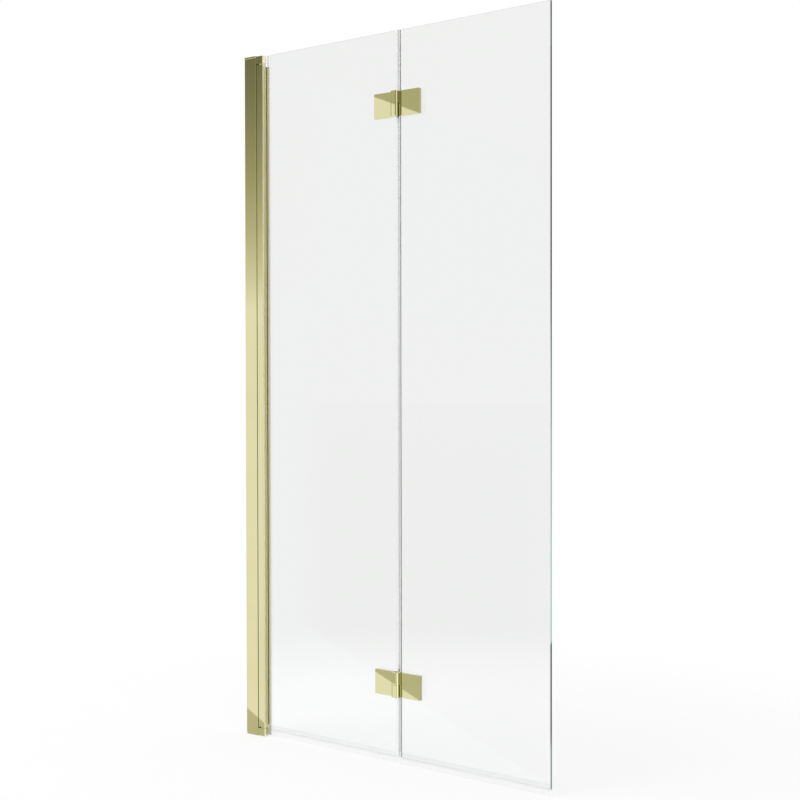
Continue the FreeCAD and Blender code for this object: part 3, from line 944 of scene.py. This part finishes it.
@dataclass
class WallProfile:
    """Channel on the wall, the profile that slides on it, its caps, pivots and the swivel profile."""

    finishes: Finishes
    nose: Span = (0.05695, -0.01495)
    nose_round: float = 0.002
    pad_start: float = 0.0528
    pad_back: float = -0.006
    wall_start: float = 0.0455
    trim_wall: float = 0.0003
    trim_height: float = 0.00245
    trim_gap: float = 0.0001

    def build(self) -> None:
        """Dress the profile and its fittings, and model the swivel profile's trims."""
        self.finishes.dress_nodes({
            "wall_channel": Look.ALUMINIUM, "adjusting_profile": Look.EXTRUSION,
            "swivel_profile": Look.EXTRUSION, "top_end_cap": Look.CAP, "bottom_end_cap": Look.CAP,
            "end_cap_screws": Look.GOLD, "lock_screws": Look.GOLD, "lock_nuts": Look.STEEL,
            "pivot_pins": Look.STEEL, "pivot_bushes": Look.BLACK, "glazing_gasket": Look.RUBBER,
        })
        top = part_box("swivel_profile")[1].z
        for name, start in (("upper_swivel_trim", top), ("lower_swivel_trim", -top - self.trim_height)):
            trim = self.trim(name, start + self.trim_gap)
            self.finishes.dress(trim, Look.GOLD)
            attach(trim, Body.INNER.value)

    def trim(self, name: str, start: float) -> bpy.types.Object:
        """Model a trim that carries the nose of the swivel profile on towards an end cap.

        Args:
            name: Name of the new piece.
            start: Its lowest point.

        Returns:
            The finished trim: a pad beside the pivot and a thin wall in front of it.
        """
        east, front = self.nose
        stop = start + self.trim_height - 2 * self.trim_gap
        behind = front + self.trim_wall
        bench = Bench(name, Vector((self.pad_start, front, start)), Vector((east, self.pad_back, stop)))
        bench.round_off(
            lambda place, along: place.x > east - NEAR and place.y < front + NEAR and abs(along.z) > FACING,
            self.nose_round)
        bench.cut(Vector((0.0, behind, start)), NORTH)
        bench.pick(lambda place, normal: normal.x < -FACING and place.y < behind)
        bench.pull(Vector((self.wall_start - self.pad_start, 0.0, 0.0)))
        return bench.done()


@dataclass
class GlassHinges:
    """Two lift-off hinges that join the panes."""

    finishes: Finishes

    def build(self) -> None:
        """Dress leaves, back plates and the small parts between them."""
        for height in ("upper", "lower"):
            for side in ("inner", "outer"):
                self.finishes.dress_nodes({
                    f"{height}_hinge_{side}_leaf": Look.LEAF,
                    f"{height}_hinge_{side}_back_plate": Look.GOLD,
                })
        for side in ("inner", "outer"):
            self.finishes.dress_nodes({
                f"{side}_hinge_screws": Look.GOLD, f"{side}_hinge_pads": Look.RUBBER,
                f"{side}_hinge_sleeves": Look.WHITE,
            })
        self.finishes.dress_nodes({"hinge_pins": Look.STEEL, "hinge_washers": Look.BLACK})


@dataclass
class BottomSeal:
    """Clear clip on the bottom edge of a pane, with a curved drip vane and a short fin."""

    pane: str
    node: str
    wall: float = 0.0009
    slack: float = 0.00012
    lip: float = 0.0004
    lip_height: float = 0.0014
    fin_start: float = 0.0021
    fin_drop: float = 0.004
    fin_taper: float = 0.6
    vane_tip: float = 0.0005
    vane_bends: tuple[Span, ...] = (
        (-0.0001, -0.0016), (-0.0003, -0.0018), (-0.0006, -0.0018),
        (-0.0008, -0.0017), (-0.001, -0.0016), (-0.0012, -0.0014),
    )

    def build(self) -> bpy.types.Object:
        """Model the seal inside the space of its CAD solid.

        Returns:
            The finished seal.
        """
        low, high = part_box(self.node)
        glass_low, glass_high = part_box(self.pane)
        inner = glass_high.y + self.slack
        outer = inner + self.wall
        top = glass_low.z - self.slack
        base = top - self.wall
        bench = Bench(self.node + "_strip", Vector((low.x, -outer, base)), Vector((high.x, outer, top)))
        for y in (-inner, self.fin_start, inner):
            bench.cut(Vector((0.0, y, base)), NORTH)
        self.legs(bench, inner, top, high.z)
        self.vane(bench, inner, base)
        self.fin(bench, inner, base)
        return bench.done()

    def legs(self, bench: Bench, inner: float, top: float, crown: float) -> None:
        """Two legs that grip the glass, with lips that turn away from it at their tips.

        Args:
            bench: Bench with the clip.
            inner: Distance of each leg from the middle of the glass.
            top: Height that the legs start from.
            crown: Height of their tips.
        """
        rise = crown - top - self.lip_height
        for side in (-1.0, 1.0):
            bench.pick(lambda place, normal: (
                normal.z > FACING and place.y * side > inner and abs(place.z - top) < NEAR))
            bench.pull(Vector((0.0, 0.0, rise)), Vector((0.0, side * self.lip, self.lip_height)))

    def vane(self, bench: Bench, inner: float, base: float) -> None:
        """Soft vane that sweeps forward and thins towards its tip.

        Args:
            bench: Bench with the clip.
            inner: Distance of the vane's root from the middle of the glass.
            base: Height of the root.
        """
        bench.pick(lambda place, normal: normal.z < -FACING and place.y < -inner)
        share = (self.vane_tip / self.wall) ** (1.0 / len(self.vane_bends))
        y, z = -inner - self.wall / 2, base
        for bend in self.vane_bends:
            bench.pull(Vector((0.0, *bend)))
            y, z = y + bend[0], z + bend[1]
            bench.taper(Vector((1.0, share, 1.0)), Vector((0.0, y, z)))

    def fin(self, bench: Bench, inner: float, base: float) -> None:
        """Short straight fin under the rear of the clip.

        Args:
            bench: Bench with the clip.
            inner: Distance of the rear leg from the middle of the glass.
            base: Height of the fin's root.
        """
        bench.pick(lambda place, normal: (
            normal.z < -FACING and self.fin_start < place.y < inner and abs(place.z - base) < NEAR))
        half = Vector((0.0, 0.0, -self.fin_drop / 2))
        bench.pull(half, half)
        middle = (self.fin_start + inner) / 2
        bench.taper(Vector((1.0, self.fin_taper, 1.0)), Vector((0.0, middle, base - self.fin_drop)))


@dataclass
class SealEndBlock:
    """Ribbed block that closes the wall end of the inner pane's bottom seal, under the jaws."""

    start: float = 0.0582
    end: float = 0.0664
    front: float = -0.0049
    back: float = -0.00414
    top: float = -0.7253
    bottom: float = -0.746
    ribs: int = 6
    rib_height: float = 0.0003

    def build(self) -> bpy.types.Object:
        """Model the block and its level ribs.

        Returns:
            The finished block.
        """
        bench = Bench(
            "inner_bottom_seal_end", Vector((self.start, self.front, self.bottom)),
            Vector((self.end, self.back, self.top)))
        band = (self.top - self.bottom) / (2 * self.ribs + 1)
        levels = [self.bottom + band * number for number in range(1, 2 * self.ribs + 1)]
        for level in levels:
            bench.cut(Vector((self.start, self.front, level)), UP)
        for level in levels[::2]:
            bench.pick(lambda place, normal: normal.y < -FACING and 0.0 < place.z - level < band)
            bench.pull(Vector((0.0, -self.rib_height, 0.0)))
        return bench.done()


@dataclass
class SeamSeal:
    """Clear strip on the inner pane's edge whose soft bulb fills the gap between the panes."""

    wall: float = 0.001
    slack: float = 0.00012
    leg: float = 0.0078
    leg_parts: Span = (0.9, 0.1)
    lip: float = 0.0003
    bulb_radius: float = 0.0024
    bulb_wall: float = 0.0008
    bulb_gap: float = 0.0001
    bulb_sides: int = 24
    end_gap: float = 0.001

    def spans(self) -> list[Span]:
        """Lengths of the strip.

        Returns:
            Lowest and highest point of each length, clear of the hinges.
        """
        low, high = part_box("seam_seals")
        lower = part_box("lower_hinge_inner_leaf")
        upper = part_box("upper_hinge_inner_leaf")
        return [
            (low.z, lower[0].z - self.end_gap),
            (lower[1].z + self.end_gap, upper[0].z - self.end_gap),
            (upper[1].z + self.end_gap, high.z),
        ]

    def clip(self, name: str, span: Span) -> bpy.types.Object:
        """Clip with two legs on the faces of the pane.

        Args:
            name: Name of the new piece.
            span: Lowest and highest point.

        Returns:
            The clip.
        """
        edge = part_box("inner_glass")[1]
        inner = edge.y + self.slack
        outer = inner + self.wall
        back = edge.x + self.slack
        straight, turned = (-self.leg * part for part in self.leg_parts)
        bench = Bench(name, Vector((back, -outer, span[0])), Vector((back + self.wall, outer, span[1])))
        for y in (-inner, inner):
            bench.cut(Vector((back, y, 0.0)), NORTH)
        for side in (-1.0, 1.0):
            bench.pick(lambda place, normal: (
                normal.x < -FACING and place.y * side > inner and abs(place.x - back) < NEAR))
            bench.pull(Vector((straight, 0.0, 0.0)), Vector((turned, side * self.lip, 0.0)))
        return bench.done()

    def bulb(self, name: str, span: Span) -> bpy.types.Object:
        """Open tube with a thin wall.

        Args:
            name: Name of the new piece.
            span: Lowest and highest point.

        Returns:
            The tube.
        """
        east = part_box("outer_glass")[0].x - self.bulb_gap
        radius = self.bulb_radius
        low, high = Vector((east - 2 * radius, -radius, span[0])), Vector((east, radius, span[1]))
        bench = Bench(name, low, high, self.bulb_sides)
        bench.pick(lambda place, normal: abs(normal.z) > FACING)
        return bench.hollowed(self.bulb_wall)

    def build(self) -> bpy.types.Object:
        """Model the lengths and join them as one piece.

        Returns:
            The finished strip.
        """
        made = []
        for number, span in enumerate(self.spans()):
            made.append(self.clip(f"seam_clip_{number}", span))
            made.append(self.bulb(f"seam_bulb_{number}", span))
        bpy.ops.object.select_all(action="DESELECT")
        for piece in made:
            piece.select_set(True)
        bpy.context.view_layer.objects.active = made[0]
        bpy.ops.object.join()
        strip = bpy.context.object
        strip.name = "seam_seal_strips"
        return strip


@dataclass
class GlassPanes:
    """The two panes and the soft seals on them."""

    finishes: Finishes

    def build(self) -> None:
        """Dress the panes and model their seals."""
        self.finishes.dress_nodes({"inner_glass": Look.GLASS, "outer_glass": Look.GLASS})
        inner = BottomSeal("inner_glass", "inner_bottom_seal").build()
        outer = BottomSeal("outer_glass", "outer_bottom_seal").build()
        self.fit(inner, Body.INNER, "inner_bottom_seal")
        self.fit(outer, Body.OUTER, "outer_bottom_seal")
        self.fit(SeamSeal().build(), Body.INNER, "seam_seals")
        block = SealEndBlock().build()
        self.finishes.dress(block, Look.SEAL_END)
        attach(block, Body.INNER.value)

    def fit(self, piece: bpy.types.Object, body: Body, node: str) -> None:
        """Put a modelled seal in the place of its CAD solid.

        Args:
            piece: New piece.
            body: Body that carries it.
            node: Node that it stands for.
        """
        self.finishes.dress(piece, Look.SEAL)
        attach(piece, body.value)
        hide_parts(node)


@dataclass(frozen=True)
class Lens:
    """Camera at the photograph's place; focal length in pixels, angles in degrees."""

    eye: Triple = (2.3086, -2.2864, 0.0487)
    focal: float = 1448.6
    yaw: float = 39.375
    pitch: float = 0.993
    roll: float = 0.099
    sensor: float = 36.0
    far: float = 100.0

    def axes(self) -> tuple[Vector, Vector, Vector]:
        """Axes of the camera.

        Returns:
            Right, up and forward.
        """
        yaw, pitch, roll = (math.radians(angle) for angle in (self.yaw, self.pitch, self.roll))
        level = math.cos(pitch)
        ahead = Vector((-math.sin(yaw) * level, math.cos(yaw) * level, -math.sin(pitch)))
        right = Vector((math.cos(yaw), math.sin(yaw), 0.0))
        down = ahead.cross(right)
        turned = math.cos(roll) * right + math.sin(roll) * down
        down = math.cos(roll) * down - math.sin(roll) * right
        return turned, -down, ahead

    def slopes(self, point: Span) -> Span:
        """Direction that a picture point looks in.

        Args:
            point: Pixel of the photograph's frame.

        Returns:
            Sideways and upward slope of the ray, for one unit along Y.
        """
        right, up, ahead = self.axes()
        half = PHOTO_SIDE / 2
        ray = ahead + right * ((point[0] - half) / self.focal) - up * ((point[1] - half) / self.focal)
        return -ray.x / abs(ray.y), ray.z / abs(ray.y)

    def build(self) -> None:
        """Put the camera in place."""
        right, up, ahead = self.axes()
        data = bpy.data.cameras.new("view")
        data.sensor_width = self.sensor
        data.lens = self.focal * self.sensor / PHOTO_SIDE
        data.clip_end = self.far
        camera = bpy.data.objects.new("view", data)
        columns = Matrix((right, up, -ahead)).transposed().to_4x4()
        camera.matrix_world = Matrix.Translation(self.eye) @ columns
        bpy.context.scene.collection.objects.link(camera)
        bpy.context.scene.camera = camera


@dataclass(frozen=True)
class Floor:
    """Pale floor that fades into the white background and keeps the soft shadow."""

    side: float = 60.0
    place: Triple = (0.4, 0.0, -0.75)
    paper: Colour = (0.86, 0.86, 0.86)
    fade: Ramp = Ramp(0.4, 1.6, 0.8, 1.0)
    veil: Ramp = Ramp(0.4, 1.7, 0.0, 1.0 - BACKDROP)

    def shader(self, sheet: NodeSheet) -> Wire:
        """Paper near the screen, white further off.

        Args:
            sheet: Node sheet of the material.

        Returns:
            The surface shader.
        """
        path = sheet.path()
        through = path.other("Is Transmission Ray")
        away = sheet.add("ShaderNodeVectorMath", {"operation": "LENGTH"}, {0: sheet.place()}, "Value")
        share = (path + through).at_most(1.0) * self.fade.on(away)
        level = 1.0 - through * self.veil.on(away)
        paper = sheet.add("ShaderNodeBsdfDiffuse", {}, {"Color": self.paper})
        glow = sheet.add("ShaderNodeEmission", {}, {"Color": sheet.grey(level, level), "Strength": 1.0})
        return sheet.mix(share, paper, glow)

    def build(self) -> None:
        """Lay the floor."""
        bpy.ops.mesh.primitive_plane_add(size=self.side, location=self.place)
        floor = bpy.context.object
        floor.name = "floor"
        floor.visible_glossy = False
        material, sheet = new_material("floor_paper")
        sheet.surface(self.shader(sheet))
        floor.data.materials.append(material)


@dataclass(frozen=True)
class PictureLine:
    """Edge of a studio panel, given by two points of the picture where polished metal shows it."""

    first: Span
    second: Span
    softness: float


@dataclass(frozen=True)
class Surroundings:
    """White background, even light and the studio that the metal and the glass show.

    Directions are slopes of a ray for one unit along Y: sideways and upward. A pair of levels is the
    brightness on one side of a line and the change across it.
    """

    lens: Lens
    fall_base: float = 0.0013
    fall_start: float = 0.066
    fall_least: float = 0.2
    foot: PictureLine = PictureLine((248.5, 709.0), (257.0, 716.5), 0.0008)
    foot_levels: Span = (0.63, 0.37)
    upper: PictureLine = PictureLine((377.0, 98.0), (418.0, 112.5), 0.0006)
    upper_levels: Span = (0.98, -0.44)
    lower: PictureLine = PictureLine((376.0, 672.0), (417.0, 699.0), 0.0006)
    lower_levels: Span = (1.0, -0.38)
    halfway: Ramp = Ramp(-0.12, 0.12)
    hinge_side: Ramp = Ramp(0.96, 0.90)
    wall_side: Ramp = Ramp(1.12, 1.25)
    wall_level: float = 0.5
    free_side: Ramp = Ramp(0.7, 0.62)
    free_level: Ramp = Ramp(0.08, 0.22, 0.9, 0.34)
    far_side: Ramp = Ramp(-0.65, -0.72)
    far_level: Ramp = Ramp(0.0, 0.2, 0.6, 0.42)
    rear_side: Ramp = Ramp(-0.04, 0.04)
    rear_level: Ramp = Ramp(-0.2, 0.2, 0.62, 0.25)
    window_side: Ramp = Ramp(-1.25, -1.45)
    window_level: Ramp = Ramp(0.0, 0.3, 1.6, 1.1)
    steep: Ramp = Ramp(1.2, 2.5)
    steep_level: float = 0.85
    least_depth: float = 0.05
    even: float = 0.8
    veil: float = 0.05
    warm_power: float = 0.42
    warm_span: Span = (0.72, 1.1)

    def levels(self, slopes: tuple[Wire, Wire], line: PictureLine, levels: Span) -> Wire:
        """Brightness on the two sides of a line of the picture.

        Args:
            slopes: Sideways and upward slope of the ray.
            line: Edge of a panel.
            levels: Brightness below the line, and the change across it.

        Returns:
            The brightness.
        """
        (t0, e0), (t1, e1) = self.lens.slopes(line.first), self.lens.slopes(line.second)
        rise = (e1 - e0) / (t1 - t0)
        height = slopes[1] - (slopes[0] - t0) * rise - e0
        return levels[0] + height.above(0.0, line.softness) * levels[1]

    def front(self, slopes: tuple[Wire, Wire]) -> Wire:
        """Brightness in front of the screen.

        Args:
            slopes: Sideways and upward slope of the ray.

        Returns:
            Brightness that faces towards the viewer show.
        """
        sideways, upward = slopes
        fall = (self.fall_base ** (upward - self.fall_start).at_least(0.0)).at_least(self.fall_least)
        profile = fall * self.levels(slopes, self.foot, self.foot_levels)
        upper = self.levels(slopes, self.upper, self.upper_levels)
        lower = self.levels(slopes, self.lower, self.lower_levels)
        hinge = lower.towards(upper, self.halfway.on(upward))
        level = profile.towards(hinge, self.hinge_side.on(sideways))
        level = level.towards(self.wall_level, self.wall_side.on(sideways))
        level = level.towards(self.free_level.on(upward), self.free_side.on(sideways))
        return level.towards(self.far_level.on(upward), self.far_side.on(sideways))

    def room(self, front: Wire, slopes: tuple[Wire, Wire], ahead: Wire) -> Wire:
        """Brightness of the studio as the polished metal shows it.

        Args:
            front: Brightness in front of the screen.
            slopes: Sideways and upward slope of the ray.
            ahead: Y of the ray.

        Returns:
            Brightness, where 1 is white.
        """
        sideways, upward = slopes
        level = front.towards(self.rear_level.on(sideways), self.rear_side.on(ahead))
        level = level.towards(self.window_level.on(upward), self.window_side.on(sideways))
        return level.towards(self.steep_level, self.steep.on(abs(upward)))

    def build(self) -> None:
        """Make the world."""
        world = bpy.data.worlds.new("studio")
        bpy.context.scene.world = world
        world.use_nodes = True
        sheet = NodeSheet(world.node_tree)
        direction = sheet.add("ShaderNodeTexCoord", {}, {}, "Generated")
        ray = sheet.add("ShaderNodeSeparateXYZ", {}, {0: direction}, "X")
        ahead = ray.other("Y")
        depth = abs(ahead).at_least(self.least_depth)
        slopes = (-1.0 * ray / depth, ray.other("Z") / depth)
        front = self.front(slopes)
        room = self.room(front, slopes, ahead)
        path = sheet.path()
        through = path.other("Is Transmission Ray")
        glossy = path.other("Is Glossy Ray") * (1.0 - through)
        level = self.even + glossy * (room - self.even)
        level = level.towards(BACKDROP + self.veil - front.at_most(1.0) * self.veil, through)
        level = level.towards(1.0, path)
        least, most = self.warm_span
        warm = 1.0 + glossy * ((level ** self.warm_power).at_least(least).at_most(most) - 1.0)
        colour = sheet.grey(level, level * warm)
        light = sheet.add("ShaderNodeBackground", {}, {"Color": colour, "Strength": 1.0})
        sheet.add("ShaderNodeOutputWorld", {}, {"Surface": light})


@dataclass(frozen=True)
class Lamp:
    """Large soft lamp above and in front."""

    side: float = 2.4
    power: float = 60.0
    place: Triple = (-0.6, -1.8, 2.6)
    target: Triple = (0.4, 0.0, -0.4)

    def build(self) -> None:
        """Hang the lamp and aim it."""
        data = bpy.data.lights.new("soft_lamp", "AREA")
        data.shape = "RECTANGLE"
        data.size = self.side
        data.size_y = self.side
        data.energy = self.power
        lamp = bpy.data.objects.new("soft_lamp", data)
        lamp.location = self.place
        aim = Vector(self.target) - lamp.location
        lamp.rotation_euler = aim.to_track_quat("-Z", "Y").to_euler()
        lamp.visible_glossy = False
        bpy.context.scene.collection.objects.link(lamp)


@dataclass
class Studio:
    """Camera, floor, light and surroundings."""

    lens: Lens = Lens()

    def build(self) -> None:
        """Set the whole studio."""
        bpy.context.scene.view_settings.view_transform = "Standard"
        for thing in (self.lens, Floor(), Surroundings(self.lens), Lamp()):
            thing.build()


def main() -> None:
    """Build the studio and dress the screen."""
    logging.basicConfig(level=logging.INFO, format="%(message)s")
    finishes = Finishes()
    for assembly in (WallProfile(finishes), GlassHinges(finishes), GlassPanes(finishes)):
        assembly.build()
    Studio().build()


if __name__ == "__main__":
    main()
